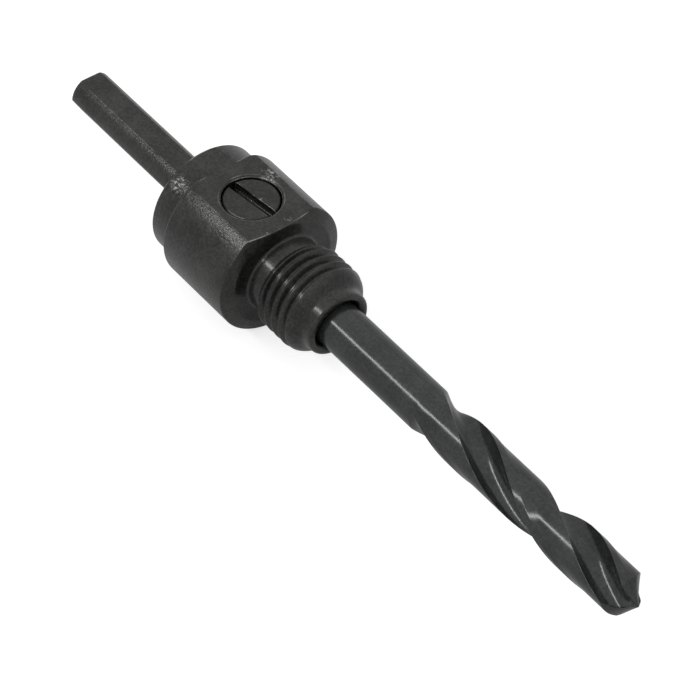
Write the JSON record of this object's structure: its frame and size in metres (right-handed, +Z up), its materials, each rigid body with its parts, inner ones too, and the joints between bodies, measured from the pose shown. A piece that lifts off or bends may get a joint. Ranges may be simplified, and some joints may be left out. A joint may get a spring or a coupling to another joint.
{
  "type": "hole saw arbor",
  "caption": "Small blackened steel arbor for a hole saw, with a flatted chuck shank, a threaded nose, a slotted set screw and a twist pilot drill.",
  "frame": {"origin": "middle of the arbor's length, on the surface that it lies on, straight below its axis", "axes": "+X along the arbor's axis towards the pilot drill's point, +Z up, square to the flat that holds the set screw"},
  "size_m": [0.108, 0.0186, 0.017],
  "materials": {
    "body_steel": "turned steel, black oxide, lightly oiled",
    "screw_steel": "hardened steel, black oxide",
    "drill_steel": "high speed steel, ground and steam blackened"
  },
  "bodies": {
    "arbor": {"arbor_body": "body_steel"},
    "screw": {"set_screw": "screw_steel"},
    "drill": {"pilot_drill": "drill_steel"}
  },
  "joints": [
    {"name": "set_screw_turn", "type": "hinge", "parent": "arbor", "child": "screw", "pos_m": [-0.01922, 0, 0.0155], "axis": [0, 0, 1], "range_deg": [0, 360]},
    {"name": "pilot_drill_slide", "type": "slide", "parent": "arbor", "child": "drill", "axis": [1, 0, 0], "range_m": [0, 0.022]}
  ]
}
